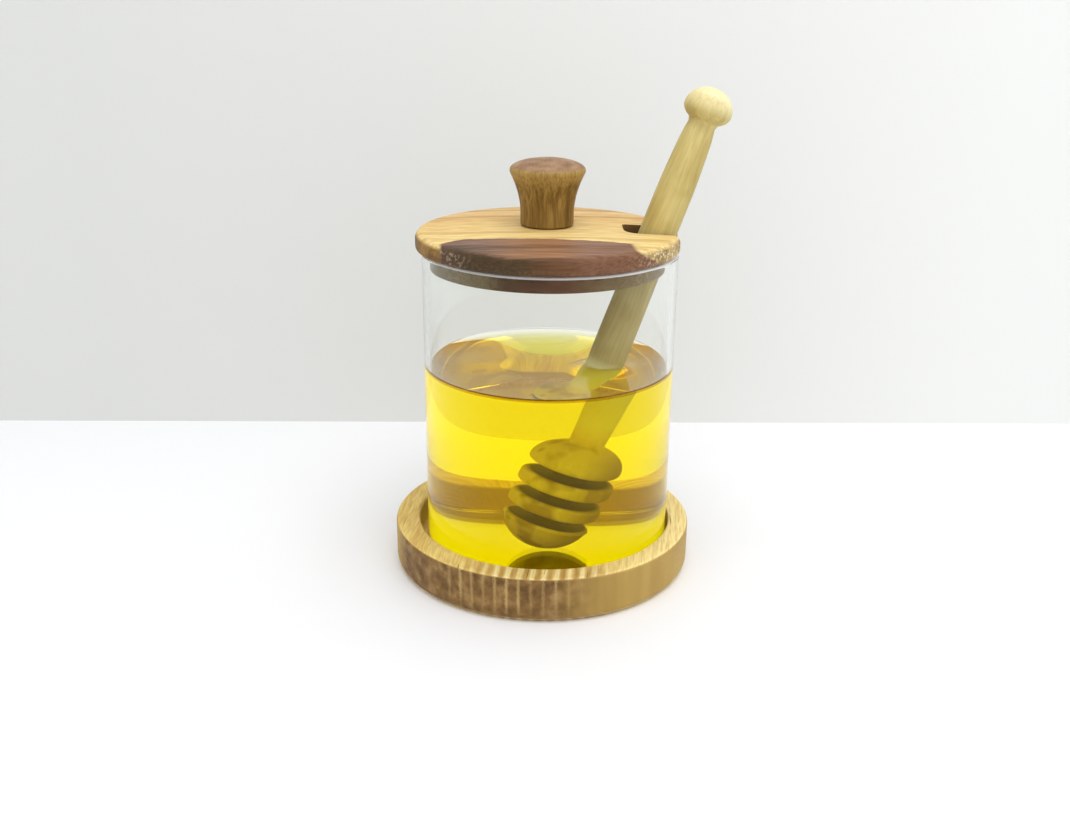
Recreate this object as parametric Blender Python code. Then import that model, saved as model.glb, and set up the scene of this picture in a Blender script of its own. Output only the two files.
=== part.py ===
"""Glass honey jar with its wooden coaster, notched lid, knob and honey dipper.

A straight-walled glass jar stands in the round recess of a turned wooden coaster and holds honey to
about two thirds of its height. A wooden lid with a spigot closes it. The dipper leans through a notch
in the lid, its head under the honey and its tip on the floor of the glass.

Metres, +Z up. The origin is the middle of the coaster's underside, and the coaster stands on z = 0.
"""

import math

import bmesh
import bpy

MM = 0.001
WELD = 1.0e-6
GAP = 0.3 * MM               # air between pieces that touch each other

# Coaster: a disc with a round recess, which is cut a little off centre
COASTER_R = 52.0 * MM
COASTER_H = 16.0 * MM
COASTER_TOP_EDGE = 1.2 * MM
COASTER_FOOT_EDGE = 3.4 * MM
RECESS_R = 44.3 * MM
RECESS_X = 0.7 * MM
RECESS_FLOOR = 7.3 * MM      # height of the recess floor over the table
RECESS_EDGE = 0.7 * MM

# Jar: a glass cylinder closed at the bottom, standing towards the right of the recess
JAR_X = 1.7 * MM
JAR_R = 42.5 * MM
JAR_WALL = 2.0 * MM
JAR_FLOOR = 1.6 * MM         # thickness of its floor
JAR_CORNER = 8.0 * MM
JAR_BOTTOM = RECESS_FLOOR + GAP
JAR_RIM = 112.0 * MM         # height of the rim over the table
JAR_BORE = JAR_R - JAR_WALL

# Honey: fills the jar up to its level and creeps up the wall
HONEY_LEVEL = 71.6 * MM
MENISCUS = 2.5 * MM
HONEY_R = JAR_BORE - GAP
HONEY_BOTTOM = JAR_BOTTOM + JAR_FLOOR + GAP

# Lid: a slightly domed disc on the rim, with a spigot inside the mouth and a notch for the dipper
LID_X = JAR_X - 0.8 * MM
LID_R = 43.7 * MM
LID_BOTTOM = JAR_RIM + GAP
LID_TOP = 119.4 * MM
LID_DOME = 1.2 * MM          # how far the top falls from its middle to its edge
LID_TOP_EDGE = 2.5 * MM
LID_FOOT_EDGE = 1.2 * MM
SPIGOT_R = 39.0 * MM
SPIGOT_BOTTOM = 106.3 * MM
SPIGOT_EDGE = 0.6 * MM
NOTCH_W = 13.4 * MM
NOTCH_Y = -1.6 * MM          # its middle line
NOTCH_END_X = 26.1 * MM      # its inner end
NOTCH_CORNER = 5.0 * MM      # of the inner end's front corner
NOTCH_BACK_CORNER = 1.2 * MM

# Knob: a waisted grip with a low domed top
KNOB_X = JAR_X - 1.1 * MM
KNOB_Y = 1.0 * MM
KNOB_BOTTOM = LID_TOP + GAP
KNOB_STEM_R = 8.8 * MM
KNOB_FLARE_Z = 123.9 * MM    # where the stem starts to widen
KNOB_BROW_Z = 136.9 * MM     # where it is widest
KNOB_BROW_R = 12.4 * MM
KNOB_CROWN_Z = 137.5 * MM    # middle height of the elliptical crown
KNOB_TOP = 141.2 * MM

# Dipper: a straight turned stick, given along its own axis from the tip upwards
DIPPER_TILT = math.radians(19.9)
DIPPER_LEAN = math.radians(-1.4)  # its top stands a little further back than its tip
TIP_Y = -4.2 * MM
DIPPER_AT_RIM_X = 35.0 * MM  # where its axis crosses the height of the rim
TIP_BALL_R = 11.8 * MM       # the bottom dome is a cap of this ball
DISC_FOOT = 10.4 * MM        # top of the bottom dome
DISC_PITCH = 8.3 * MM
GROOVE_W = 3.5 * MM
GROOVE_R = 5.5 * MM
DISC_R = (12.5 * MM, 12.8 * MM, 12.6 * MM)  # lower disc, upper disc, foot of the shoulder dome
DISC_EDGE = 1.4 * MM
SHOULDER_H = 8.4 * MM
HANDLE_RINGS = (             # height and radius of the handle, in mm
    (40.2, 4.8), (46.0, 5.1), (56.0, 5.65), (65.0, 6.15), (78.0, 6.25), (96.0, 6.05),
    (118.0, 6.05), (130.0, 5.95), (140.0, 5.55), (147.0, 5.05), (151.0, 4.5))
BALL_Z = 156.2 * MM
BALL_R = 7.9 * MM
BALL_FALL = 4.9 * MM         # its height below the middle
BALL_RISE = 6.8 * MM         # and above it

ROUND_LARGE = 64
ROUND_SMALL = 36
ROUND_STICK = 28


def material(name, colour, roughness, metallic=0.0, alpha=1.0, transmission=0.0):
    mat = bpy.data.materials.new(name)
    mat.use_nodes = True
    shader = mat.node_tree.nodes["Principled BSDF"]
    shader.inputs["Base Color"].default_value = (*colour, 1.0)
    shader.inputs["Roughness"].default_value = roughness
    shader.inputs["Metallic"].default_value = metallic
    shader.inputs["Alpha"].default_value = alpha
    shader.inputs["Transmission Weight"].default_value = transmission
    return mat


def arc(centre_r, centre_z, radius, start, end, steps, height=None):
    """Points on an arc of the profile plane, from start to end degrees; an ellipse where height is given."""
    rise = radius if height is None else height
    angles = [math.radians(start + (end - start) * i / steps) for i in range(steps + 1)]
    return [(centre_r + radius * math.cos(a), centre_z + rise * math.sin(a)) for a in angles]


def turned(name, profile, rounds, finish):
    """A solid turned about its own Z axis from a profile of (radius, height) points, axis to axis."""
    bm = bmesh.new()
    ring = [bm.verts.new((r, 0.0, z)) for r, z in profile]
    edges = [bm.edges.new(pair) for pair in zip(ring, ring[1:])]
    bmesh.ops.spin(bm, geom=ring + edges, cent=(0, 0, 0), axis=(0, 0, 1), dvec=(0, 0, 0),
                   angle=math.tau, steps=rounds)
    bmesh.ops.remove_doubles(bm, verts=bm.verts, dist=WELD)
    bmesh.ops.recalc_face_normals(bm, faces=bm.faces)
    mesh = bpy.data.meshes.new(name)
    bm.to_mesh(mesh)
    bm.free()
    mesh.materials.append(finish)
    mesh.shade_smooth()
    mesh.set_sharp_from_angle(angle=math.radians(35))
    obj = bpy.data.objects.new(name, mesh)
    bpy.context.collection.objects.link(obj)
    return obj


def cut(obj, cutter):
    """Takes the cutter's shape out of the object; the cutter stays as a wire guide."""
    cutter.hide_render = True
    cutter.display_type = "WIRE"
    boolean = obj.modifiers.new("cut_" + cutter.name, "BOOLEAN")
    boolean.operation = "DIFFERENCE"
    boolean.solver = "EXACT"
    boolean.object = cutter


def coaster(finish):
    foot_r = COASTER_R - COASTER_FOOT_EDGE
    brow_r = COASTER_R - COASTER_TOP_EDGE
    body = [(0.0, 0.0)]
    body += arc(foot_r, COASTER_FOOT_EDGE, COASTER_FOOT_EDGE, -90, 0, 4)
    body += arc(brow_r, COASTER_H - COASTER_TOP_EDGE, COASTER_TOP_EDGE, 0, 90, 3)
    body += [(0.0, COASTER_H)]
    disc = turned("coaster", body, ROUND_LARGE, finish)

    lip_r = RECESS_R + RECESS_EDGE
    hollow = [(0.0, RECESS_FLOOR), (RECESS_R - RECESS_EDGE, RECESS_FLOOR)]
    hollow += [(RECESS_R, RECESS_FLOOR + RECESS_EDGE)]
    hollow += arc(lip_r, COASTER_H - RECESS_EDGE, RECESS_EDGE, 180, 90, 2)
    hollow += [(lip_r, COASTER_H + COASTER_TOP_EDGE), (0.0, COASTER_H + COASTER_TOP_EDGE)]
    recess = turned("recess_guide", hollow, ROUND_LARGE, finish)
    recess.location.x = RECESS_X
    cut(disc, recess)


def jar(finish):
    lip = JAR_WALL / 2
    inner_corner = JAR_CORNER - JAR_WALL
    floor = JAR_BOTTOM + JAR_FLOOR
    wall = [(0.0, JAR_BOTTOM)]
    wall += arc(JAR_R - JAR_CORNER, JAR_BOTTOM + JAR_CORNER, JAR_CORNER, -90, 0, 6)
    wall += arc(JAR_R - lip, JAR_RIM - lip, lip, 0, 180, 4)
    wall += arc(JAR_BORE - inner_corner, floor + inner_corner, inner_corner, 0, -90, 5)
    wall += [(0.0, floor)]
    turned("glass_jar", wall, ROUND_LARGE, finish).location.x = JAR_X


def dipper_profile(clearance=0.0):
    """The turned outline from tip to ball, or the same outline grown by a clearance."""
    c = clearance
    line = [(0.0, -c)]
    cap_end = math.degrees(math.asin((DISC_FOOT - TIP_BALL_R) / TIP_BALL_R))
    line += arc(0.0, TIP_BALL_R, TIP_BALL_R + c, -80, cap_end, 7)
    level = DISC_FOOT
    for index, disc_r in enumerate(DISC_R):
        line += [(line[-1][0] - DISC_EDGE, level + c), (GROOVE_R + c, level + c)]
        level += GROOVE_W
        line += [(GROOVE_R + c, level - c), (disc_r + c - DISC_EDGE, level - c)]
        line += [(disc_r + c, level - c + DISC_EDGE)]
        if index < len(DISC_R) - 1:
            level += DISC_PITCH - GROOVE_W
            line += [(disc_r + c, level + c - DISC_EDGE)]
    shoulder = level + DISC_EDGE
    neck = math.degrees(math.acos(HANDLE_RINGS[0][1] * MM / DISC_R[-1]))
    line += arc(0.0, shoulder, DISC_R[-1] + c, 10, neck, 6, height=SHOULDER_H + c)
    line += [(r * MM + c, z * MM) for z, r in HANDLE_RINGS]
    return line


def dipper(finish):
    line = dipper_profile()
    underside = math.degrees(math.acos(HANDLE_RINGS[-1][1] * MM / BALL_R))
    line += arc(0.0, BALL_Z, BALL_R, -underside + 8, 0, 3, height=BALL_FALL)
    line += arc(0.0, BALL_Z, BALL_R, 18, 90, 4, height=BALL_RISE)
    line[-1] = (0.0, BALL_Z + BALL_RISE)
    lean(turned("dipper", line, ROUND_STICK, finish))


def lean(stick):
    """Leans a shape drawn along the dipper's axis, so that the ball of its tip rests on the glass."""
    tip_z = HONEY_BOTTOM + TIP_BALL_R * (1 - math.cos(DIPPER_TILT) * math.cos(DIPPER_LEAN))
    tip_x = DIPPER_AT_RIM_X - (JAR_RIM - tip_z) * math.tan(DIPPER_TILT)
    stick.location = (tip_x, TIP_Y, tip_z)
    stick.rotation_euler = (DIPPER_LEAN, DIPPER_TILT, 0.0)


def honey(finish):
    corner = JAR_CORNER - JAR_WALL
    body = [(0.0, HONEY_BOTTOM)]
    body += arc(HONEY_R - corner, HONEY_BOTTOM + corner, corner, -90, 0, 5)
    body += arc(HONEY_R - MENISCUS, HONEY_LEVEL + MENISCUS, MENISCUS, -22, -90, 3)
    body += [(0.0, HONEY_LEVEL)]
    fill = turned("honey", body, ROUND_LARGE, finish)
    fill.location.x = JAR_X

    line = dipper_profile(GAP)
    line.append((0.0, line[-1][1]))
    hole = turned("dipper_guide", line, ROUND_STICK, finish)
    lean(hole)
    cut(fill, hole)


def lid(finish):
    slope_r = LID_R - LID_TOP_EDGE
    shoulder = LID_TOP - LID_DOME
    body = [(0.0, SPIGOT_BOTTOM)]
    body += arc(SPIGOT_R - SPIGOT_EDGE, SPIGOT_BOTTOM + SPIGOT_EDGE, SPIGOT_EDGE, -90, 0, 2)
    body += [(SPIGOT_R, LID_BOTTOM)]
    body += arc(LID_R - LID_FOOT_EDGE, LID_BOTTOM + LID_FOOT_EDGE, LID_FOOT_EDGE, -90, 0, 3)
    body += arc(slope_r, shoulder - LID_TOP_EDGE, LID_TOP_EDGE, 0, 80, 5)
    rings = 5
    body += [(slope_r * i / rings, LID_TOP - LID_DOME * (i / rings) ** 2) for i in range(rings - 1, -1, -1)]
    disc = turned("lid", body, ROUND_LARGE, finish)
    disc.location.x = LID_X
    cut(disc, notch_guide(finish))


def notch_guide(finish):
    """The notch: a block from beyond the lid's edge to its inner end, whose two corners are rounded."""
    depth = 2 * LID_R - NOTCH_END_X
    bm = bmesh.new()
    bmesh.ops.create_cube(bm, size=1.0)
    bmesh.ops.scale(bm, vec=(depth, NOTCH_W, LID_TOP - SPIGOT_BOTTOM + LID_R), verts=bm.verts)
    for side, corner in ((-1, NOTCH_CORNER), (1, NOTCH_BACK_CORNER)):
        edge = [e for e in bm.edges if all(v.co.x < 0 < side * v.co.y for v in e.verts)]
        bmesh.ops.bevel(bm, geom=edge, offset=corner, segments=4, profile=0.5, affect="EDGES")
    mesh = bpy.data.meshes.new("notch_guide")
    bm.to_mesh(mesh)
    bm.free()
    mesh.materials.append(finish)
    block = bpy.data.objects.new("notch_guide", mesh)
    bpy.context.collection.objects.link(block)
    block.location = (NOTCH_END_X + depth / 2, NOTCH_Y, LID_TOP)
    return block


def knob(finish):
    flare_h = KNOB_BROW_Z - KNOB_FLARE_Z
    spread = KNOB_BROW_R - KNOB_STEM_R
    body = [(0.0, KNOB_BOTTOM), (KNOB_STEM_R, KNOB_BOTTOM)]
    steps = 8
    for i in range(steps + 1):
        t = i / steps
        body.append((KNOB_STEM_R + spread * t ** 1.85, KNOB_FLARE_Z + flare_h * t))
    body += arc(0.0, KNOB_CROWN_Z, KNOB_BROW_R, 8, 90, 8, height=KNOB_TOP - KNOB_CROWN_Z)
    body[-1] = (0.0, KNOB_TOP)
    turned("lid_knob", body, ROUND_SMALL, finish).location = (KNOB_X, KNOB_Y, 0.0)


def main():
    for obj in list(bpy.data.objects):
        bpy.data.objects.remove(obj, do_unlink=True)
    golden = material("oiled_acacia", (0.48, 0.31, 0.12), 0.5)
    brown = material("acacia_heartwood", (0.30, 0.17, 0.06), 0.5)
    pale = material("pale_beech", (0.62, 0.50, 0.24), 0.55)
    clear = material("clear_glass", (0.95, 0.97, 0.95), 0.02, alpha=0.35, transmission=1.0)
    amber = material("honey", (0.93, 0.70, 0.02), 0.05)
    coaster(golden)
    jar(clear)
    honey(amber)
    lid(golden)
    knob(brown)
    dipper(pale)


main()
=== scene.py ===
"""Looks of the glass honey jar: clear glass, yellow honey, and oiled wooden lid, knob, coaster and dipper.

Metres, +Z up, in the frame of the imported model. The grain, the colours and the fine shapes are made here;
the places and the main sizes come from the frame's own nodes.
"""

import math

import bpy
from mathutils import Euler, Matrix, Vector


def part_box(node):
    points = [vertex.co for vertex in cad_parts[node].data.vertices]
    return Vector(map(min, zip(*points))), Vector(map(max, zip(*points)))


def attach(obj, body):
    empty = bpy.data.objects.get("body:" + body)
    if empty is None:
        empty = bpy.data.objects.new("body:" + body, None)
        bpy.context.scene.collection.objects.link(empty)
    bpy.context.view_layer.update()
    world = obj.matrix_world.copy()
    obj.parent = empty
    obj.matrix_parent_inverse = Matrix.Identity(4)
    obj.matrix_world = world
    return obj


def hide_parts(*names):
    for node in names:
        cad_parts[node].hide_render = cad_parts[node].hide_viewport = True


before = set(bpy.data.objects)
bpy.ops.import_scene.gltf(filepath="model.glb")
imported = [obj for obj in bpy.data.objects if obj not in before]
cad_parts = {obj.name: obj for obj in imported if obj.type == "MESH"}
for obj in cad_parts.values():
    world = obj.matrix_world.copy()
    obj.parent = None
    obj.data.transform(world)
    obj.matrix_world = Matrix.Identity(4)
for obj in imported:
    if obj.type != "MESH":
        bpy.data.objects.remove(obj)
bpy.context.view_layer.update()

MM = 0.001
WELD = 1.0e-6                # merge distance of points that meet
HOLD = 0.25 * MM             # how close a holding ring lies to a curve's end
SMOOTH_UNDER = math.radians(35)

# How many faces go round a turned piece: glass and honey bend light, so they have the most
CLEAR_ROUNDS = 256
WIDE_ROUNDS = 192
SLIM_ROUNDS = 128
TOOL_ROUNDS = 96

# Places read from the frame
COASTER_LOW, COASTER_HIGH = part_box("coaster")
JAR_LOW, JAR_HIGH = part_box("glass_jar")
HONEY_LOW, HONEY_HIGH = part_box("honey")
LID_LOW, LID_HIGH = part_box("lid")
KNOB_LOW, KNOB_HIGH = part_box("lid_knob")

# Coaster
COASTER_R = COASTER_HIGH.x
COASTER_TOP_EDGE = 1.2 * MM
COASTER_FOOT_EDGE = 3.4 * MM
RECESS_R = 44.3 * MM
RECESS_X = 0.7 * MM
RECESS_FLOOR = 7.3 * MM
RECESS_EDGE = 0.7 * MM

# Glass
JAR_X = (JAR_LOW.x + JAR_HIGH.x) / 2
JAR_R = (JAR_HIGH.x - JAR_LOW.x) / 2
JAR_WALL = 2.0 * MM
JAR_FLOOR = 1.6 * MM
JAR_CORNER = 3.5 * MM
JAR_BORE = JAR_R - JAR_WALL

# Honey: it reaches a little into the wall and into the dipper, so that no air shows between them
HONEY_LEVEL = 71.0 * MM
HONEY_CREST = HONEY_HIGH.z   # it climbs to here at the wall
# Shares of the climb, each with the length over which it fades away from the wall
CLIMB = ((0.45, 8.0 * MM), (0.55, 1.3 * MM))
COLLAR = 2.0 * MM            # it climbs so far up the dipper
COLLAR_REACH = 7 * MM
REACH = 0.15 * MM
SURFACE_RINGS = 56
RING_CROWDING = 1.3          # above 1, the surface's rings lie closer together near the wall
SURFACE_WAVES = (            # x, y, height and reach of the surface's soft waves, in mm
    (-12, -6, -0.4, 14), (-24, 2, 0.3, 12), (4, -24, 0.4, 12), (28, 10, -0.3, 12))

# Lid
LID_X = JAR_X - 0.8 * MM
LID_R = 43.7 * MM
LID_BOTTOM = JAR_HIGH.z + 0.3 * MM
LID_DOME = 1.2 * MM
LID_RINGS = 12
LID_TOP_EDGE = 2.5 * MM
LID_FOOT_EDGE = 1.2 * MM
SPIGOT_R = 39.0 * MM
SPIGOT_EDGE = 0.6 * MM
NOTCH_W = 13.4 * MM
NOTCH_Y = -1.6 * MM
NOTCH_END_X = 26.1 * MM
NOTCH_CORNER = 5.0 * MM
NOTCH_BACK_CORNER = 1.2 * MM
NOTCH_EASE = 0.45 * MM       # the notch's top edge is sanded back by this

# Knob
KNOB_X = (KNOB_LOW.x + KNOB_HIGH.x) / 2
KNOB_Y = (KNOB_LOW.y + KNOB_HIGH.y) / 2
KNOB_STEM_R = 8.8 * MM
KNOB_FOOT_EDGE = 0.5 * MM
KNOB_FLARE_Z = 123.9 * MM
KNOB_FLARE_POWER = 1.85      # the stem opens slowly at first
KNOB_FLARE_RINGS = 24
KNOB_BROW_Z = 136.9 * MM
KNOB_BROW_R = 12.4 * MM
KNOB_CROWN_Z = 137.5 * MM

# Dipper, along its own axis from the tip upwards
DIPPER_TILT = math.radians(19.9)
DIPPER_LEAN = math.radians(-1.4)
TIP_Y = -4.2 * MM
DIPPER_AT_RIM_X = 35.0 * MM
TIP_BALL_R = 11.8 * MM
DISC_FOOT = 10.4 * MM
DISC_PITCH = 8.3 * MM
GROOVE_W = 3.5 * MM
GROOVE_R = 5.5 * MM
DISC_R = (12.5 * MM, 12.8 * MM, 12.6 * MM)
DISC_EDGE = 1.4 * MM
SHOULDER_H = 8.4 * MM
HANDLE_RINGS = (             # height and radius of the handle, in mm
    (40.2, 4.8), (46.0, 5.1), (56.0, 5.65), (65.0, 6.15), (78.0, 6.25), (96.0, 6.05),
    (118.0, 6.05), (130.0, 5.95), (140.0, 5.55), (147.0, 5.05), (151.0, 4.5))
BALL_Z = 156.2 * MM
BALL_R = 7.9 * MM
BALL_FALL = 4.9 * MM
BALL_RISE = 6.8 * MM
TIP_Z = HONEY_LOW.z + TIP_BALL_R * (1 - math.cos(DIPPER_TILT) * math.cos(DIPPER_LEAN))
TIP_X = DIPPER_AT_RIM_X - (JAR_HIGH.z - TIP_Z) * math.tan(DIPPER_TILT)

# View: the camera that the photograph's outlines give, for an image 1070 pixels wide
IMAGE_W = 1070
FOCAL_PX = 1175.2
SENSOR_W = 36.0
NEAREST_SEEN = 10 * MM
CAMERA_AT = (-2.8 * MM, -385.0 * MM, 195.0 * MM)
CAMERA_PITCH = math.radians(20.51)
CAMERA_ROLL = math.radians(0.504)

# Studio
WALL_Y = 133.6 * MM          # a pale wall stands close behind the jar
WALL_TURN = math.radians(0.95)
STAGE_SPAN = 6.0
SKY_STRENGTH = 0.88
LAMP_AT = (0.12, -0.35, 1.1)
LAMP_SPAN = 0.8
LAMP_WATTS = 5.8
LIGHT_BOUNCES = 24           # enough for light to pass the glass, the honey and back


# Shapes

def arc(centre_r, centre_z, radius, start, end, steps, height=None):
    """Points on an arc of the outline's plane, from start to end degrees; an ellipse where height is given."""
    rise = radius if height is None else height
    angles = [math.radians(start + (end - start) * i / steps) for i in range(steps + 1)]
    return [(centre_r + radius * math.cos(a), centre_z + rise * math.sin(a)) for a in angles]


def held(outline):
    """The outline with a point close to both ends of each long run, so that the shading of a curve
    doesn't spread over the flat beside it."""
    points = [outline[0]]
    for (r0, z0), (r1, z1) in zip(outline, outline[1:]):
        run = math.hypot(r1 - r0, z1 - z0)
        if run > 4 * HOLD:
            for share in (HOLD / run, 1 - HOLD / run):
                points.append((r0 + (r1 - r0) * share, z0 + (z1 - z0) * share))
        points.append((r1, z1))
    return points


def flowing(points, steps):
    """A smooth line through the points, with so many steps between each two."""
    ends = [points[0]] + list(points) + [points[-1]]
    line = []
    for before, here, after, beyond in zip(ends, ends[1:], ends[2:], ends[3:]):
        for i in range(steps):
            t = i / steps
            line.append(tuple(
                0.5 * (2 * b + (c - a) * t + (2 * a - 5 * b + 4 * c - d) * t ** 2
                       + (3 * b - a - 3 * c + d) * t ** 3)
                for a, b, c, d in zip(before, here, after, beyond)))
    return line + [tuple(points[-1])]


def taken_up(piece):
    """Selects just this piece and makes it the active one."""
    bpy.ops.object.select_all(action="DESELECT")
    bpy.context.view_layer.objects.active = piece
    piece.select_set(True)


def turned(name, outline, rounds, axis_x=0.0, axis_y=0.0):
    """A piece turned about an upright axis: its half outline is drawn point by point, then spun."""
    bpy.ops.object.select_all(action="DESELECT")
    bpy.ops.mesh.primitive_plane_add(size=MM)
    piece = bpy.context.object
    piece.name = piece.data.name = name
    bpy.ops.object.mode_set(mode="EDIT")
    bpy.ops.mesh.select_mode(type="VERT")
    bpy.ops.mesh.merge(type="CENTER")
    bpy.ops.transform.translate(value=(axis_x + outline[0][0], axis_y, outline[0][1]))
    for (r0, z0), (r1, z1) in zip(outline, outline[1:]):
        bpy.ops.mesh.extrude_region_move(TRANSFORM_OT_translate={"value": (r1 - r0, 0.0, z1 - z0)})
    bpy.ops.mesh.select_all(action="SELECT")
    bpy.ops.mesh.spin(steps=rounds, angle=math.tau, center=(axis_x, axis_y, 0.0), axis=(0.0, 0.0, 1.0))
    bpy.ops.mesh.select_all(action="SELECT")
    bpy.ops.mesh.remove_doubles(threshold=WELD)
    bpy.ops.mesh.normals_make_consistent(inside=False)
    bpy.ops.object.mode_set(mode="OBJECT")
    bpy.ops.object.shade_smooth_by_angle(angle=SMOOTH_UNDER)
    return piece


def cut(piece, tool):
    """Takes the tool's shape out of the piece and removes the tool."""
    taken_up(piece)
    boolean = piece.modifiers.new("cut", "BOOLEAN")
    boolean.operation = "DIFFERENCE"
    boolean.solver = "EXACT"
    boolean.object = tool
    bpy.ops.object.modifier_apply(modifier=boolean.name)
    bpy.data.objects.remove(tool, do_unlink=True)
    bpy.ops.object.shade_smooth_by_angle(angle=SMOOTH_UNDER)


def select_points(piece, chosen):
    """Opens the piece in edit mode with just the points for which chosen(point) is true selected."""
    taken_up(piece)
    bpy.ops.object.mode_set(mode="EDIT")
    bpy.ops.mesh.select_mode(type="VERT")
    bpy.ops.mesh.select_all(action="DESELECT")
    bpy.ops.object.mode_set(mode="OBJECT")
    for vertex in piece.data.vertices:
        vertex.select = chosen(vertex.co)
    bpy.ops.object.mode_set(mode="EDIT")


def draw_out(piece, chosen, move, falloff, reach):
    """Moves the chosen points of a piece, and the points around them by less and less as far as the reach."""
    select_points(piece, chosen)
    bpy.ops.transform.translate(value=move, use_proportional_edit=True,
                                proportional_edit_falloff=falloff, proportional_size=reach)
    bpy.ops.object.mode_set(mode="OBJECT")


def lean(piece):
    """Leans a piece drawn upright along the dipper's axis into the dipper's place."""
    taken_up(piece)
    piece.rotation_euler = (DIPPER_LEAN, DIPPER_TILT, 0.0)
    piece.location = (TIP_X, TIP_Y, TIP_Z)
    bpy.ops.object.transform_apply()


def coaster_piece():
    foot_r = COASTER_R - COASTER_FOOT_EDGE
    brow_r = COASTER_R - COASTER_TOP_EDGE
    lip_r = RECESS_R + RECESS_EDGE
    top = COASTER_HIGH.z
    outline = [(0.0, 0.0), (foot_r * 0.6, 0.0)]
    outline += arc(foot_r, COASTER_FOOT_EDGE, COASTER_FOOT_EDGE, -90, 0, 12)
    outline += [(COASTER_R, top * 0.45), (COASTER_R, top * 0.7)]
    outline += arc(brow_r, top - COASTER_TOP_EDGE, COASTER_TOP_EDGE, 0, 90, 8)
    outline += arc(lip_r, top - RECESS_EDGE, RECESS_EDGE, 90, 180, 6)
    outline += arc(RECESS_R - RECESS_EDGE, RECESS_FLOOR + RECESS_EDGE, RECESS_EDGE, 0, -90, 5)
    outline += [(RECESS_R * 0.5, RECESS_FLOOR), (0.0, RECESS_FLOOR)]
    piece = turned("coaster_wood", held(outline), WIDE_ROUNDS)

    # The recess is a little off the coaster's middle
    select_points(piece, lambda p: p.z > RECESS_FLOOR - HOLD and math.hypot(p.x, p.y) < lip_r + 2 * HOLD)
    bpy.ops.transform.translate(value=(RECESS_X, 0.0, 0.0))
    bpy.ops.object.mode_set(mode="OBJECT")
    return piece


def glass_piece():
    lip = JAR_WALL / 2
    inner_corner = JAR_CORNER - JAR_WALL
    bottom = JAR_LOW.z
    floor = bottom + JAR_FLOOR
    rim = JAR_HIGH.z
    outline = [(0.0, bottom), (JAR_R * 0.5, bottom)]
    outline += arc(JAR_R - JAR_CORNER, bottom + JAR_CORNER, JAR_CORNER, -90, 0, 20)
    outline += arc(JAR_R - lip, rim - lip, lip, 0, 180, 12)
    outline += arc(JAR_BORE - inner_corner, floor + inner_corner, inner_corner, 0, -90, 16)
    outline += [(JAR_R * 0.5, floor), (0.0, floor)]
    return turned("jar_glass", held(outline), CLEAR_ROUNDS, JAR_X)


def honey_piece():
    corner = JAR_CORNER - JAR_WALL
    wall = JAR_BORE + REACH
    bottom = JAR_LOW.z + JAR_FLOOR - REACH
    outline = [(0.0, bottom), (wall * 0.5, bottom)]
    outline += arc(wall - corner, bottom + corner, corner, -90, 0, 16)
    for i in range(SURFACE_RINGS + 1):
        r = wall * (1 - (i / SURFACE_RINGS) ** RING_CROWDING)
        climb = sum(share * math.exp((r - wall) / fade) for share, fade in CLIMB)
        outline.append((r, HONEY_LEVEL + (HONEY_CREST - HONEY_LEVEL) * climb))
    piece = turned("honey_fill", held(outline), CLEAR_ROUNDS, JAR_X)
    for x, y, height, reach in SURFACE_WAVES:
        draw_out(piece, lambda p: p.z > HONEY_LEVEL - HOLD and math.hypot(p.x - x * MM, p.y - y * MM) < MM,
                 (0.0, 0.0, height * MM), "SMOOTH", reach * MM)
    stick = turned("dipper_tool", dipper_outline(-REACH)[:-1] + [(0.0, BALL_Z)], TOOL_ROUNDS)
    lean(stick)
    cut(piece, stick)

    # The collar round the dipper is drawn up along the stick, so that it stays against the wood
    axis = Euler((DIPPER_LEAN, DIPPER_TILT, 0.0)).to_matrix() @ Vector((0.0, 0.0, 1.0))
    foot = Vector((TIP_X, TIP_Y, TIP_Z))
    stick_r = HANDLE_RINGS[3][1] * MM + REACH
    draw_out(piece, lambda p: p.z > HONEY_LEVEL - MM and (p - foot).cross(axis).length < stick_r,
             axis * COLLAR, "SHARP", COLLAR_REACH)
    return piece


def dipper_outline(grow=0.0):
    """The turned outline from tip to ball, or the same outline grown all round."""
    line = [(0.0, -grow)]
    cap_end = math.degrees(math.asin((DISC_FOOT - TIP_BALL_R) / TIP_BALL_R))
    line += arc(0.0, TIP_BALL_R, TIP_BALL_R + grow, -86, cap_end - 4, 18)
    level = DISC_FOOT
    edge = DISC_EDGE
    for index, disc_r in enumerate(DISC_R):
        brow = TIP_BALL_R if index == 0 else DISC_R[index - 1]
        line += arc(brow + grow - edge, level + grow - edge, edge, 12, 90, 7)
        line += [(GROOVE_R + grow, level + grow)]
        level += GROOVE_W
        line += [(GROOVE_R + grow, level - grow)]
        line += arc(disc_r + grow - edge, level - grow + edge, edge, -90, 0, 7)
        if index < len(DISC_R) - 1:
            level += DISC_PITCH - GROOVE_W
    shoulder = level + DISC_EDGE
    neck = math.degrees(math.acos(HANDLE_RINGS[0][1] * MM / DISC_R[-1]))
    line += arc(0.0, shoulder, DISC_R[-1] + grow, 4, neck, 16, height=SHOULDER_H + grow)
    line += [(r + grow, z) for z, r in flowing([(z * MM, r * MM) for z, r in HANDLE_RINGS], 4)]
    return line


def dipper_piece():
    line = dipper_outline()
    underside = math.degrees(math.acos(HANDLE_RINGS[-1][1] * MM / BALL_R))
    line += arc(0.0, BALL_Z, BALL_R, -underside + 4, 0, 8, height=BALL_FALL)
    line += arc(0.0, BALL_Z, BALL_R, 6, 90, 12, height=BALL_RISE)
    line[-1] = (0.0, BALL_Z + BALL_RISE)
    piece = turned("dipper_wood", held(line), SLIM_ROUNDS)
    lean(piece)
    return piece


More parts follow.
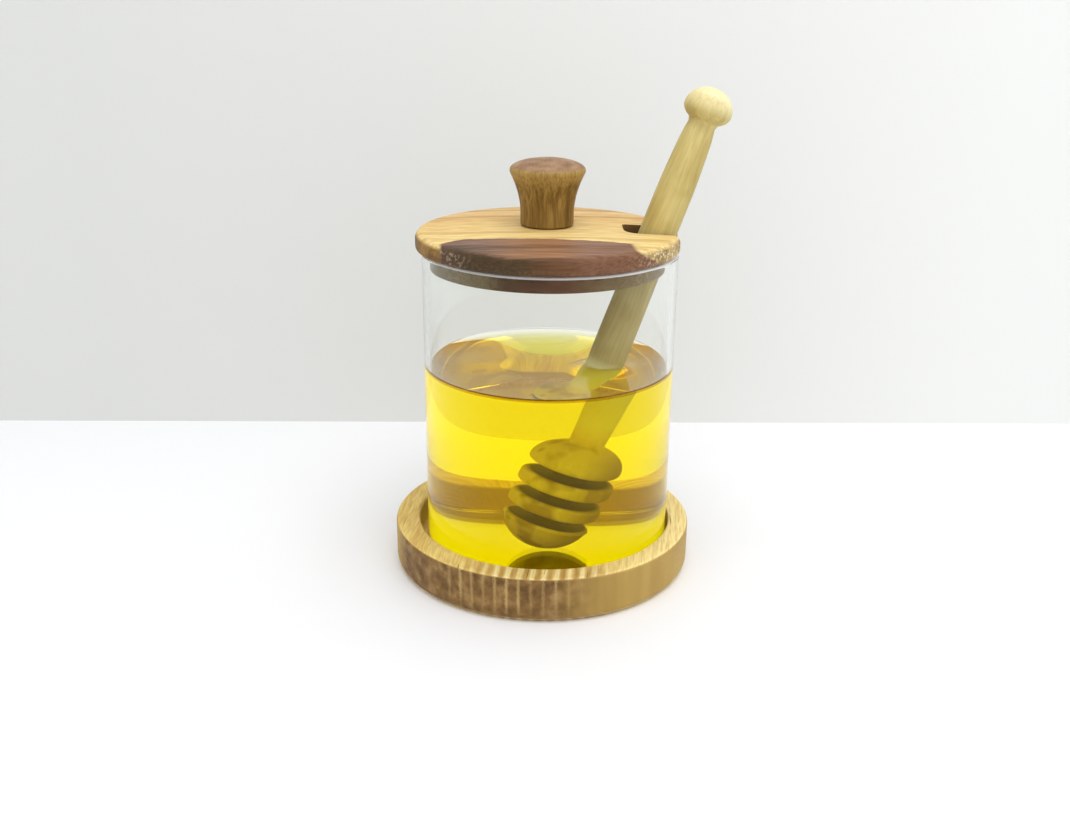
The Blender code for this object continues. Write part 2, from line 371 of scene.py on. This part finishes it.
def lid_piece():
    slope_r = LID_R - LID_TOP_EDGE
    shoulder = LID_HIGH.z - LID_DOME
    outline = [(0.0, LID_LOW.z), (SPIGOT_R * 0.5, LID_LOW.z)]
    outline += arc(SPIGOT_R - SPIGOT_EDGE, LID_LOW.z + SPIGOT_EDGE, SPIGOT_EDGE, -90, 0, 6)
    outline += [(SPIGOT_R, LID_BOTTOM)]
    outline += arc(LID_R - LID_FOOT_EDGE, LID_BOTTOM + LID_FOOT_EDGE, LID_FOOT_EDGE, -90, 0, 10)
    outline += arc(slope_r, shoulder - LID_TOP_EDGE, LID_TOP_EDGE, 0, 86, 16)
    for i in range(LID_RINGS - 1, -1, -1):
        out = i / LID_RINGS
        outline.append((slope_r * i / LID_RINGS, LID_HIGH.z - LID_DOME * out ** 2))
    piece = turned("lid_wood", held(outline), WIDE_ROUNDS, LID_X)
    cut(piece, notch_tool())
    return piece


def notch_tool():
    """The shape the notch takes out: a slot with rounded inner corners that opens out at the lid's top."""
    depth = 2 * LID_R - NOTCH_END_X
    bottom = LID_LOW.z - 4 * MM
    flat = LID_HIGH.z - LID_DOME - 2 * NOTCH_EASE
    bpy.ops.object.select_all(action="DESELECT")
    middle = (NOTCH_END_X + depth / 2, NOTCH_Y, (bottom + flat) / 2)
    bpy.ops.mesh.primitive_cube_add(size=1.0, location=middle, scale=(depth, NOTCH_W, flat - bottom))
    tool = bpy.context.object
    tool.name = tool.data.name = "notch_tool"
    bpy.ops.object.transform_apply()
    for side, corner in ((-1, NOTCH_CORNER), (1, NOTCH_BACK_CORNER)):
        select_points(tool, lambda p: p.x < NOTCH_END_X + MM and side * (p.y - NOTCH_Y) > NOTCH_W / 3)
        bpy.ops.mesh.select_mode(type="EDGE")
        bpy.ops.mesh.bevel(offset=corner, segments=12, affect="EDGES")
        bpy.ops.object.mode_set(mode="OBJECT")
    select_points(tool, lambda p: p.z > flat - MM)
    bpy.ops.mesh.select_mode(type="FACE")
    flare = (depth + 2 * NOTCH_EASE) / depth, (NOTCH_W + 2 * NOTCH_EASE) / NOTCH_W
    bpy.ops.mesh.extrude_region_move(TRANSFORM_OT_translate={"value": (0.0, 0.0, 6 * NOTCH_EASE)})
    bpy.ops.transform.resize(value=(flare[0] ** 2, flare[1] ** 2, 1.0),
                             center_override=(NOTCH_END_X + depth / 2, NOTCH_Y, LID_HIGH.z))
    bpy.ops.object.mode_set(mode="OBJECT")
    return tool


def knob_piece():
    flare_h = KNOB_BROW_Z - KNOB_FLARE_Z
    spread = KNOB_BROW_R - KNOB_STEM_R
    outline = [(0.0, KNOB_LOW.z)]
    outline += arc(KNOB_STEM_R - KNOB_FOOT_EDGE, KNOB_LOW.z + KNOB_FOOT_EDGE, KNOB_FOOT_EDGE, -90, 0, 5)
    for i in range(KNOB_FLARE_RINGS + 1):
        t = i / KNOB_FLARE_RINGS
        outline.append((KNOB_STEM_R + spread * t ** KNOB_FLARE_POWER, KNOB_FLARE_Z + flare_h * t))
    outline += arc(0.0, KNOB_CROWN_Z, KNOB_BROW_R, 4, 90, 24, height=KNOB_HIGH.z - KNOB_CROWN_Z)
    return turned("knob_wood", held(outline), SLIM_ROUNDS, KNOB_X, KNOB_Y)


# Finishes

def colour(hex_code):
    """The linear colour of an sRGB hex value."""
    values = [int(hex_code[i:i + 2], 16) / 255 for i in (1, 3, 5)]
    linear = [v / 12.92 if v <= 0.04045 else ((v + 0.055) / 1.055) ** 2.4 for v in values]
    return (*linear, 1.0)


def add(tree, kind, inputs=None, stops=None, **settings):
    """Adds a shader node: inputs are values or sockets to link by name or number, stops a ramp's colours."""
    made = tree.nodes.new("ShaderNode" + kind)
    for name, value in settings.items():
        setattr(made, name, value)
    for key, value in (inputs or {}).items():
        if isinstance(value, bpy.types.NodeSocket):
            tree.links.new(value, made.inputs[key])
        else:
            made.inputs[key].default_value = value
    if stops:
        ramp = made.color_ramp.elements
        while len(ramp) < len(stops):
            ramp.new(0.5)
        for element, (position, value) in zip(ramp, stops):
            element.position = position
            element.color = colour(value)
    return made


def finish(name):
    """A new material: its node tree, its shader and itself."""
    made = bpy.data.materials.new(name)
    made.use_nodes = True
    shader = made.node_tree.nodes["Principled BSDF"]
    return made.node_tree, shader, made


def mask(tree, *parts):
    """How strongly a mark shows at a place: its parts multiplied. A part is a share, a socket that gives one,
    or a value with its two bounds, between which it fades from 0 to 1, or from and to two more numbers."""
    so_far = None
    for part in parts:
        if isinstance(part, tuple):
            value, start, end, low, high = (*part, 0.0, 1.0)[:5]
            part = add(tree, "MapRange", {"Value": value, "From Min": start, "From Max": end,
                                          "To Min": low, "To Max": high}).outputs[0]
        if so_far is None:
            so_far = part
        else:
            so_far = add(tree, "Math", {0: so_far, 1: part}, operation="MULTIPLY").outputs[0]
    return so_far


def layered(tree, base, *layers):
    """Colours laid over a base one after another, each with its mask and the way it blends."""
    for amount, over, blend in layers:
        over = colour(over) if isinstance(over, str) else over
        base = add(tree, "Mix", {0: amount, 6: base, 7: over}, data_type="RGBA", blend_type=blend).outputs[2]
    return base


def around(tree):
    """The object coordinates, their three numbers, and how far the surface faces up."""
    texture = add(tree, "TexCoord")
    where = texture.outputs["Object"]
    x, y, z = add(tree, "SeparateXYZ", {"Vector": where}).outputs
    facing = add(tree, "SeparateXYZ", {"Vector": texture.outputs["Normal"]}).outputs["Z"]
    return where, x, y, z, facing


def board(tree, place, turn, sway):
    """Coordinates along a board: X along its grain. They sway a little, as real grain does."""
    where = add(tree, "TexCoord").outputs["Object"]
    along = add(tree, "Mapping", {"Vector": where, "Location": place, "Rotation": turn}, vector_type="TEXTURE")
    wander = add(tree, "TexNoise", {"Vector": along.outputs[0], "Scale": 18.0, "Detail": 2.0})
    centred = add(tree, "VectorMath", {0: wander.outputs["Color"], 1: (0.5, 0.5, 0.5)}, operation="SUBTRACT")
    moved = add(tree, "VectorMath", {0: centred.outputs[0], 1: (0.0, sway, sway)}, operation="MULTIPLY")
    return add(tree, "VectorMath", {0: along.outputs[0], 1: moved.outputs[0]}, operation="ADD").outputs[0]


def stretched(tree, along, length, width, height=None, detail=2.0):
    """Noise drawn out along the grain: length, width and height are the size of its marks."""
    size = (1 / length, 1 / width, 1 / (height or width))
    scaled = add(tree, "VectorMath", {0: along, 1: size}, operation="MULTIPLY")
    return add(tree, "TexNoise", {"Vector": scaled.outputs[0], "Scale": 1.0, "Detail": detail}).outputs["Fac"]


def off_axis(tree, x, y, axis_x):
    """How far a place lies from an upright axis."""
    flat = add(tree, "CombineXYZ", {"X": add(tree, "Math", {0: x, 1: axis_x}, operation="SUBTRACT").outputs[0],
                                    "Y": y})
    return add(tree, "VectorMath", {0: flat.outputs[0]}, operation="LENGTH").outputs["Value"]


def wood_surface(tree, shader, tint, fibres, pores):
    """Gives the shader its colour, a satin gloss that follows the fibres, and relief from fibres and pores."""
    tree.links.new(tint, shader.inputs["Base Color"])
    tree.links.new(mask(tree, (fibres, 0.3, 0.7, 0.68, 0.46)), shader.inputs["Roughness"])
    shader.inputs["Specular IOR Level"].default_value = 0.25
    relief = add(tree, "Math", {0: fibres, 1: pores}, operation="ADD")
    bump = add(tree, "Bump", {"Height": relief.outputs[0], "Strength": 0.6, "Distance": 0.12 * MM})
    tree.links.new(bump.outputs[0], shader.inputs["Normal"])


def clear_glass():
    """Blown borosilicate glass: hardly any colour and faint clean reflections. Its rim is made rough and
    partly white, a painted highlight that shows as a white line."""
    tree, shader, made = finish("blown_borosilicate_glass")
    shader.inputs["Base Color"].default_value = colour("#fefffe")
    shader.inputs["IOR"].default_value = 1.47
    shader.inputs["Specular Tint"].default_value = colour("#707070")
    where, x, y, z, facing = around(tree)
    # Painted highlight: along the rim the glass turns rough and lets less light through, so it shows white
    edge = JAR_HIGH.z - 0.8 * MM, JAR_HIGH.z - 0.6 * MM
    tree.links.new(mask(tree, (z, *edge, 0.0, 0.5)), shader.inputs["Roughness"])
    tree.links.new(mask(tree, (z, *edge, 1.0, 0.3)), shader.inputs["Transmission Weight"])
    return made


def clear_honey():
    """Runny filtered honey: it takes the blue out of the light and hardly any green, so it is a bright yellow
    that deepens with its depth. It bends light less than set honey does, and a faint emission in it is painted
    light that stands in for the light scattered in it. A brown line of painted shade runs along the front where
    it ends on the glass."""
    tree, shader, made = finish("runny_filtered_honey")
    where, x, y, z, facing = around(tree)
    # Painted shade: a brown line along the front where the honey meets the glass
    painted_front_line = mask(tree, (facing, 0.3, 0.1), (y, 8 * MM, -8 * MM),
                 (z, HONEY_CREST - 1.4 * MM, HONEY_CREST - 1.0 * MM))
    tree.links.new(layered(tree, colour("#ffffff"), (painted_front_line, "#b78f43", "MIX")), shader.inputs["Base Color"])
    shader.inputs["Roughness"].default_value = 0.0
    shader.inputs["IOR"].default_value = 1.345
    shader.inputs["Specular Tint"].default_value = colour("#303030")
    shader.inputs["Transmission Weight"].default_value = 1.0
    depth = add(tree, "VolumeAbsorption", {"Color": colour("#fffc00"), "Density": 100.0})
    # Painted light: an emission in the honey stands in for the light scattered in it
    painted_glow = add(tree, "Emission", {"Color": colour("#ffd300"), "Strength": 2.4})
    both = add(tree, "AddShader", {0: depth.outputs[0], 1: painted_glow.outputs[0]})
    tree.links.new(both.outputs[0], tree.nodes["Material Output"].inputs["Volume"])
    return made


def coaster_finish():
    """Oiled acacia, turned from a quarter-sawn board whose grain runs from front to back: golden on top, brown
    end grain with thin pale upright rays at the front, plain golden on the right. The top is painted paler
    towards the right as a highlight, and the wall and floor of the hollow under the jar are painted light. Its
    fibres and rays are drawn a little wider than real ones, so that they show."""
    tree, shader, made = finish("oiled_quarter_sawn_acacia")
    along = board(tree, (0.0, 0.0, 0.0), (0.0, 0.0, math.radians(84)), 2.5 * MM)
    where, x, y, z, facing = around(tree)
    drift = stretched(tree, along, 60 * MM, 9 * MM, 60 * MM)
    fibres = stretched(tree, along, 8 * MM, 0.7 * MM)
    pores = stretched(tree, along, 3 * MM, 0.5 * MM, detail=1.0)
    cracks = stretched(tree, along, 14 * MM, 0.8 * MM, 3 * MM, detail=1.0)
    mottle = add(tree, "TexNoise", {"Vector": along, "Scale": 260.0, "Detail": 4.0}).outputs["Fac"]
    ray_pitch = 4.0 * MM
    rays = add(tree, "TexWave", {"Vector": along, "Scale": math.tau / 20 / ray_pitch, "Distortion": 2.2,
                                 "Detail": 2.0, "Detail Scale": 50.0}, bands_direction="Y").outputs["Fac"]

    # Where each sort of wood shows, and where light is painted on the hollow's wall and floor
    level = add(tree, "Math", {0: facing}, operation="ABSOLUTE").outputs[0]
    side = mask(tree, (level, 0.8, 0.5))
    radius = off_axis(tree, x, y, RECESS_X)
    # Painted light: the hollow's wall under the jar is made pale gold
    painted_light_wall = mask(tree, side, (radius, 45.4 * MM, 45.0 * MM))
    # Painted light: the hollow's floor under the jar is made nearly white
    painted_light_floor = mask(tree, (facing, 0.5, 0.8), (z, 8.8 * MM, 8.2 * MM), (radius, 41 * MM, 39 * MM))
    browned = mask(tree, side, (x, 19 * MM, 4 * MM), (x, -50 * MM, -47 * MM))
    lined = mask(tree, side, (x, 15 * MM, 6 * MM), (x, -34 * MM, -26 * MM), (y, -30 * MM, -38 * MM),
                 (z, 1 * MM, 7 * MM), (rays, 0.80, 0.98), (drift, 0.35, 0.60, 0.25, 1.0))
    front = mask(tree, (y, -36 * MM, -45 * MM), (x, 26 * MM, 13 * MM), (x, -36 * MM, -14 * MM))
    hole_at = (16.7 * MM, -50.3 * MM, COASTER_HIGH.z)
    from_hole = add(tree, "VectorMath", {0: where, 1: hole_at}, operation="DISTANCE").outputs["Value"]
    pinhole = mask(tree, (from_hole, 0.8 * MM, 0.5 * MM))

    golden = add(tree, "ValToRGB", {"Fac": drift},
                 [(0.32, "#d3ae5c"), (0.46, "#e5c26c"), (0.58, "#f2d680"), (0.72, "#e0bc68")])
    strokes = add(tree, "ValToRGB", {"Fac": rays},
                  [(0.05, "#b79150"), (0.45, "#cda85b"), (0.66, "#e8cd82"), (0.95, "#f5e4aa")])
    plain = add(tree, "ValToRGB", {"Fac": drift}, [(0.32, "#a48543"), (0.50, "#b4934c"), (0.68, "#c2a25a")])
    brown = add(tree, "ValToRGB", {"Fac": mottle},
                [(0.34, "#654821"), (0.46, "#7b5a2e"), (0.56, "#886738"), (0.68, "#9d7c4b")])
    grain = add(tree, "ValToRGB", {"Fac": fibres}, [(0.32, "#c2b092"), (0.60, "#ffffff")])
    split = add(tree, "ValToRGB", {"Fac": cracks}, [(0.24, "#7d6038"), (0.31, "#ffffff")])
    tint = layered(tree, golden.outputs[0],
                   # Painted highlight: the top grows paler towards the right
                   (mask(tree, (x, 6 * MM, 40 * MM)), "#ffe79c", "MIX"),
                   (mask(tree, front, 0.85), strokes.outputs[0], "MIX"),
                   (0.5, grain.outputs[0], "MULTIPLY"),
                   (0.8, split.outputs[0], "MULTIPLY"),
                   (side, plain.outputs[0], "MIX"),
                   (browned, brown.outputs[0], "MIX"),
                   # Painted light on the hollow's wall
                   (painted_light_wall, "#f0d48a", "MIX"),
                   (mask(tree, lined, 0.8), "#c8a96c", "MIX"),
                   # Painted light on the hollow's floor
                   (mask(tree, painted_light_floor, 0.9), "#fff3c4", "MIX"),
                   (pinhole, "#4a3213", "MIX"))
    wood_surface(tree, shader, tint, fibres, pores)
    return made


def lid_finish():
    """Oiled acacia from the edge of the log: cream sapwood with tan streaks, and dark heartwood along the front
    whose rim is roughened by tool marks at both ends. The left of its side is painted darker as shade, and the
    notch is dark brown, partly its own colour and partly painted shade."""
    tree, shader, made = finish("oiled_acacia_with_heartwood")
    along = board(tree, (0.0, 0.0, 0.0), (0.0, 0.0, math.radians(1.0)), 3 * MM)
    bands = stretched(tree, along, 120 * MM, 4 * MM)
    fibres = stretched(tree, along, 10 * MM, 0.6 * MM)
    pores = stretched(tree, along, 4 * MM, 0.5 * MM, detail=1.0)
    specks = add(tree, "TexNoise", {"Vector": along, "Scale": 900.0, "Detail": 2.0}).outputs["Fac"]
    smudge = add(tree, "TexNoise", {"Vector": along, "Scale": 160.0, "Detail": 3.0}).outputs["Fac"]
    x, y, z = add(tree, "SeparateXYZ", {"Vector": along}).outputs
    facing = around(tree)[-1]
    side = mask(tree, (facing, 0.75, 0.35))
    radius = off_axis(tree, x, y, LID_X)
    rim = mask(tree, (radius, 38.0 * MM, 38.5 * MM))
    # Partly the wood's own brown, partly painted shade: the notch's inside
    notch_brown_and_shade = mask(tree, side, (radius, 38.5 * MM, 38.0 * MM))
    below = mask(tree, (z, 112.2 * MM, 111.8 * MM))

    # The heartwood's edge: bowed over the middle, its end upright on the left and slanting on the right
    rise = mask(tree, (x, -14 * MM, 28 * MM))
    bow = mask(tree, rise, rise, 5.4 * MM)
    fall = mask(tree, (x, -26 * MM, -36 * MM, 0.0, 7 * MM))
    ragged = mask(tree, (smudge, 0.3, 0.7, -0.5 * MM, 0.5 * MM))
    line = y
    for part in (bow, fall, ragged):
        line = add(tree, "Math", {0: line, 1: part}, operation="ADD").outputs[0]
    drop = add(tree, "Math", {0: z, 1: LID_HIGH.z}, operation="SUBTRACT").outputs[0]
    slant = add(tree, "Math", {0: x, 1: mask(tree, drop, 1.6)}, operation="ADD").outputs[0]
    inside = mask(tree, (line, -18.6 * MM, -19.2 * MM), (x, -33.6 * MM, -32.4 * MM),
                  (slant, 25.6 * MM, 24.2 * MM))

    # Tool marks: on the heartwood's ends, faintly along its foot, and on the sapwood to its right
    far = add(tree, "Math", {0: x}, operation="ABSOLUTE").outputs[0]
    ends = mask(tree, (far, 22 * MM, 32 * MM))
    foot = mask(tree, (z, 116.0 * MM, 113.5 * MM), 0.1)
    rough = add(tree, "Math", {0: ends, 1: foot}, operation="MAXIMUM").outputs[0]
    scuffed = mask(tree, inside, side, rim, rough, (specks, 0.50, 0.66))
    bare = mask(tree, side, rim, (specks, 0.50, 0.64), (x, 24 * MM, 30 * MM))

    across = add(tree, "ValToRGB", {"Fac": mask(tree, (y, -20 * MM, 44 * MM))},
                 [(0.00, "#f2d994"), (0.20, "#eed18b"), (0.42, "#e7c681"), (0.56, "#dfb976"),
                  (0.59, "#bf9561"), (0.62, "#e1be7e"), (0.76, "#e5c488"), (0.79, "#c09865"),
                  (0.82, "#dcba7b"), (1.00, "#cba868")])
    streaks = add(tree, "ValToRGB", {"Fac": bands}, [(0.34, "#d8c09c"), (0.46, "#ffffff"), (0.70, "#f0e5d0")])
    rind = add(tree, "ValToRGB", {"Fac": smudge}, [(0.35, "#8c7044"), (0.50, "#ad8f56"), (0.64, "#c6aa70")])
    breadth = mask(tree, (x, -34 * MM, 32 * MM))
    heart_top = add(tree, "ValToRGB", {"Fac": breadth},
                    [(0.00, "#7c5c4b"), (0.22, "#876655"), (0.36, "#9b7150"), (0.56, "#a07452"),
                     (0.70, "#94705a"), (1.00, "#8d6a53")])
    heart_rim = add(tree, "ValToRGB", {"Fac": breadth},
                    [(0.00, "#5f4838"), (0.14, "#49371f"), (0.38, "#4c381f"), (0.55, "#694629"),
                     (0.72, "#7c563e"), (1.00, "#80593f")])
    heart_low = add(tree, "ValToRGB", {"Fac": breadth},
                    [(0.00, "#9a8c66"), (0.22, "#918059"), (0.32, "#684c2a"), (0.58, "#784a2c"),
                     (0.78, "#957a52"), (1.00, "#b19c70")])
    level = add(tree, "Math", {0: mask(tree, (z, LID_LOW.z, LID_HIGH.z)),
                               1: mask(tree, (bands, 0.3, 0.7, -0.06, 0.06))}, operation="ADD").outputs[0]
    heart = layered(tree, heart_rim.outputs[0],
                    (mask(tree, (level, 0.86, 0.95)), heart_top.outputs[0], "MIX"))
    grain = add(tree, "ValToRGB", {"Fac": fibres}, [(0.32, "#c0ad90"), (0.60, "#ffffff")])
    tint = layered(tree, across.outputs[0],
                   (0.6, streaks.outputs[0], "MULTIPLY"),
                   (side, rind.outputs[0], "MIX"),
                   # Painted shade: the left of the lid's side is darkened
                   (mask(tree, side, (x, -20 * MM, -36 * MM)), "#cdb893", "MULTIPLY"),
                   (bare, "#efe3bd", "MIX"),
                   (inside, heart, "MIX"),
                   (below, heart_low.outputs[0], "MIX"),
                   # The notch's inside made dark brown, partly its own colour, partly painted shade
                   (mask(tree, notch_brown_and_shade, 0.9), "#5c3d14", "MIX"),
                   (0.5, grain.outputs[0], "MULTIPLY"),
                   (mask(tree, scuffed, 0.55), "#c9b08f", "MIX"))
    wood_surface(tree, shader, tint, fibres, pores)
    return made


def knob_finish():
    """Oiled acacia heartwood, its grain upright: brown streaked sides, a golden band under the brow that is a
    painted highlight, and a redder end grain on top."""
    tree, shader, made = finish("oiled_acacia_heartwood")
    along = board(tree, (KNOB_X, KNOB_Y, 0.0), (0.0, math.radians(-90), 0.0), 2 * MM)
    where, x, y, z, facing = around(tree)
    bands = stretched(tree, along, 60 * MM, 2.6 * MM)
    fibres = stretched(tree, along, 9 * MM, 0.6 * MM)
    pores = stretched(tree, along, 4 * MM, 0.5 * MM, detail=1.0)
    soft = add(tree, "TexNoise", {"Vector": where, "Scale": 220.0, "Detail": 2.0}).outputs["Fac"]
    brow = mask(tree, (z, 133 * MM, 135.5 * MM), (z, 139.6 * MM, 138.4 * MM))
    top = mask(tree, (facing, 0.45, 0.75))

    sides = add(tree, "ValToRGB", {"Fac": bands},
                [(0.34, "#6f541f"), (0.46, "#896a2e"), (0.58, "#a38343"), (0.70, "#7a5c26")])
    ends = add(tree, "ValToRGB", {"Fac": soft}, [(0.32, "#825f45"), (0.50, "#967456"), (0.68, "#ab8b68")])
    dots = add(tree, "ValToRGB", {"Fac": pores}, [(0.30, "#c9b59d"), (0.42, "#ffffff")])
    crown = layered(tree, ends.outputs[0], (0.7, dots.outputs[0], "MULTIPLY"))
    grain = add(tree, "ValToRGB", {"Fac": fibres}, [(0.32, "#b7a380"), (0.60, "#ffffff")])
    tint = layered(tree, sides.outputs[0],
                   # Painted highlight: a golden band under the knob's brow
                   (mask(tree, brow, 0.65), "#c09d56", "MIX"),
                   (0.6, grain.outputs[0], "MULTIPLY"),
                   (top, crown, "MIX"))
    wood_surface(tree, shader, tint, fibres, pores)
    return made


def dipper_finish():
    """Bare sanded beech, pale yellow, with fine long fibres along the stick. Below the rim it is painted paler
    as painted light, and paler still in the honey. The ball's top is paler, partly its end grain and partly a
    painted highlight. Its head has stain in patches and painted shade on its right, and its grooves carry
    painted shade."""
    tree, shader, made = finish("bare_sanded_beech")
    along = board(tree, (TIP_X, TIP_Y, TIP_Z), (0.0, DIPPER_TILT - math.radians(90), 0.0), 3 * MM)
    bands = stretched(tree, along, 90 * MM, 3.5 * MM)
    fibres = stretched(tree, along, 12 * MM, 0.6 * MM)
    pores = stretched(tree, along, 3 * MM, 0.5 * MM, detail=1.0)
    clouds = add(tree, "TexNoise", {"Vector": along, "Scale": 90.0, "Detail": 2.0}).outputs["Fac"]

    # Height along the stick, and how far out from its axis
    where = add(tree, "TexCoord").outputs["Object"]
    upright = add(tree, "Mapping", {"Vector": where, "Location": (TIP_X, TIP_Y, TIP_Z),
                                    "Rotation": (DIPPER_LEAN, DIPPER_TILT, 0.0)}, vector_type="TEXTURE")
    x, y, height = add(tree, "SeparateXYZ", {"Vector": upright.outputs[0]}).outputs
    radius = off_axis(tree, x, y, 0.0)

    head_end = DISC_FOOT + 2 * DISC_PITCH + GROOVE_W
    # Painted light: the stick below the jar's rim is made paler
    painted_light_in_jar = mask(tree, (height, 108 * MM, 102 * MM), 0.6)
    # The ball's top made paler: partly its end grain, partly a painted highlight
    ball_top_grain_and_highlight = mask(tree, (height, 155 * MM, 161 * MM, 0.0, 0.9))
    # Painted light: the stick and head in the honey are made paler still
    painted_light_in_honey = mask(tree, (height, 67 * MM, 64 * MM, 0.0, 0.75))
    painted_light_stick_in_honey = mask(tree, (height, 69 * MM, 66 * MM), (height, 42 * MM, 48 * MM), 0.9)
    # Painted shade: the grooves between the discs, inside the discs' rims, are made dark brown
    groove_shade = mask(tree, (radius, 12.0 * MM, 10.4 * MM), (height, head_end + 0.3 * MM, head_end),
                  (height, DISC_FOOT - 0.3 * MM, DISC_FOOT))
    # Painted shade on the head's right; the blotches are stain
    right = mask(tree, (x, 1 * MM, 11 * MM, 0.0, 0.7))
    blotched = mask(tree, (clouds, 0.52, 0.64, 0.0, 0.7))
    darker = add(tree, "Math", {0: right, 1: blotched}, operation="MAXIMUM").outputs[0]
    stain_and_painted_shade = mask(tree, (height, 44 * MM, 36 * MM), darker)

    sides = add(tree, "ValToRGB", {"Fac": bands},
                [(0.30, "#c6b36f"), (0.48, "#cfbc77"), (0.62, "#d9c785"), (0.78, "#cbb872")])
    patchy = add(tree, "ValToRGB", {"Fac": clouds}, [(0.34, "#e2d8bd"), (0.60, "#ffffff")])
    grain = add(tree, "ValToRGB", {"Fac": fibres}, [(0.32, "#dfd4b6"), (0.60, "#ffffff")])
    tint = layered(tree, sides.outputs[0],
                   # Painted light below the jar's rim
                   (painted_light_in_jar, "#ecd994", "MIX"),
                   # Painted highlight on the ball's top, partly its end grain
                   (ball_top_grain_and_highlight, "#fff5c6", "MIX"),
                   # Painted light in the honey
                   (painted_light_in_honey, "#f7e58a", "MIX"),
                   (0.6, patchy.outputs[0], "MULTIPLY"),
                   (0.35, grain.outputs[0], "MULTIPLY"),
                   # More painted light in the honey
                   (mask(tree, painted_light_in_honey, 0.6), "#fff2a2", "MIX"),
                   (painted_light_stick_in_honey, "#fffcc0", "MIX"),
                   # Stain in blotches and painted shade on the head's right
                   (stain_and_painted_shade, "#a0834f", "MULTIPLY"),
                   # Painted shade in the grooves
                   (mask(tree, groove_shade, 0.95), "#33271a", "MIX"))
    wood_surface(tree, shader, tint, fibres, pores)
    return made


def placed(piece, node, material):
    """The piece stands for its CAD node and takes its finish."""
    piece.data.materials.clear()
    piece.data.materials.append(material)
    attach(piece, "root")
    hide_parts(node)


# Studio

def table_and_wall():
    """A white table, and a grey wall that grows paler to the right as painted light."""
    bpy.ops.object.select_all(action="DESELECT")
    bpy.ops.mesh.primitive_plane_add(size=STAGE_SPAN)
    floor = bpy.context.object
    floor.name = "studio_floor"
    tree, shader, made = finish("white_table")
    shader.inputs["Base Color"].default_value = colour("#f3f3f4")
    shader.inputs["Roughness"].default_value = 0.6
    floor.data.materials.append(made)

    bpy.ops.mesh.primitive_plane_add(size=STAGE_SPAN, location=(0.0, WALL_Y, STAGE_SPAN / 2),
                                     rotation=(math.radians(90), 0.0, WALL_TURN))
    wall = bpy.context.object
    wall.name = "studio_wall"
    tree, shader, made = finish("pale_grey_wall")
    shader.inputs["Roughness"].default_value = 0.9
    where, x, y, z, facing = around(tree)
    # Painted light: the wall's grey grows paler to the right
    grey = add(tree, "ValToRGB", {"Fac": mask(tree, (x, -0.2, 0.2))}, [(0.0, "#dcddd9"), (1.0, "#eff0ed")])
    tree.links.new(grey.outputs[0], shader.inputs["Base Color"])
    # The wall is left out where it is seen from behind, so that it never hides the jar
    seen_behind = add(tree, "NewGeometry").outputs["Backfacing"]
    clear = add(tree, "BsdfTransparent")
    both = add(tree, "MixShader", {0: seen_behind, 1: shader.outputs[0], 2: clear.outputs[0]})
    tree.links.new(both.outputs[0], tree.nodes["Material Output"].inputs["Surface"])
    wall.data.materials.append(made)


def light():
    """A pale sky all round and one large softbox above the camera's side."""
    world = bpy.data.worlds.new("soft_studio")
    bpy.context.scene.world = world
    world.use_nodes = True
    sky = world.node_tree.nodes["Background"]
    sky.inputs["Color"].default_value = colour("#fbfcff")
    sky.inputs["Strength"].default_value = SKY_STRENGTH

    bpy.ops.object.light_add(type="AREA", location=LAMP_AT)
    lamp = bpy.context.object
    lamp.name = "softbox"
    lamp.data.shape = "SQUARE"
    lamp.data.size = LAMP_SPAN
    lamp.data.energy = LAMP_WATTS
    towards = -lamp.location.normalized()
    aim = towards.to_track_quat("-Z", "Y").to_matrix().to_4x4()
    lamp.matrix_world = Matrix.Translation(lamp.location) @ aim
    bpy.context.scene.view_settings.view_transform = "Standard"
    bpy.context.scene.cycles.max_bounces = LIGHT_BOUNCES
    bpy.context.scene.cycles.transmission_bounces = LIGHT_BOUNCES


def camera():
    bpy.ops.object.camera_add()
    eye = bpy.context.object
    eye.name = "photo_view"
    eye.data.sensor_width = SENSOR_W
    eye.data.lens = SENSOR_W * FOCAL_PX / IMAGE_W
    eye.data.clip_start = NEAREST_SEEN
    look = Matrix.Rotation(math.radians(90) - CAMERA_PITCH, 4, "X")
    eye.matrix_world = Matrix.Translation(CAMERA_AT) @ look @ Matrix.Rotation(CAMERA_ROLL, 4, "Z")
    bpy.context.scene.camera = eye


table_and_wall()
light()
camera()

placed(coaster_piece(), "coaster", coaster_finish())
placed(glass_piece(), "glass_jar", clear_glass())
placed(honey_piece(), "honey", clear_honey())
placed(dipper_piece(), "dipper", dipper_finish())
placed(lid_piece(), "lid", lid_finish())
placed(knob_piece(), "lid_knob", knob_finish())
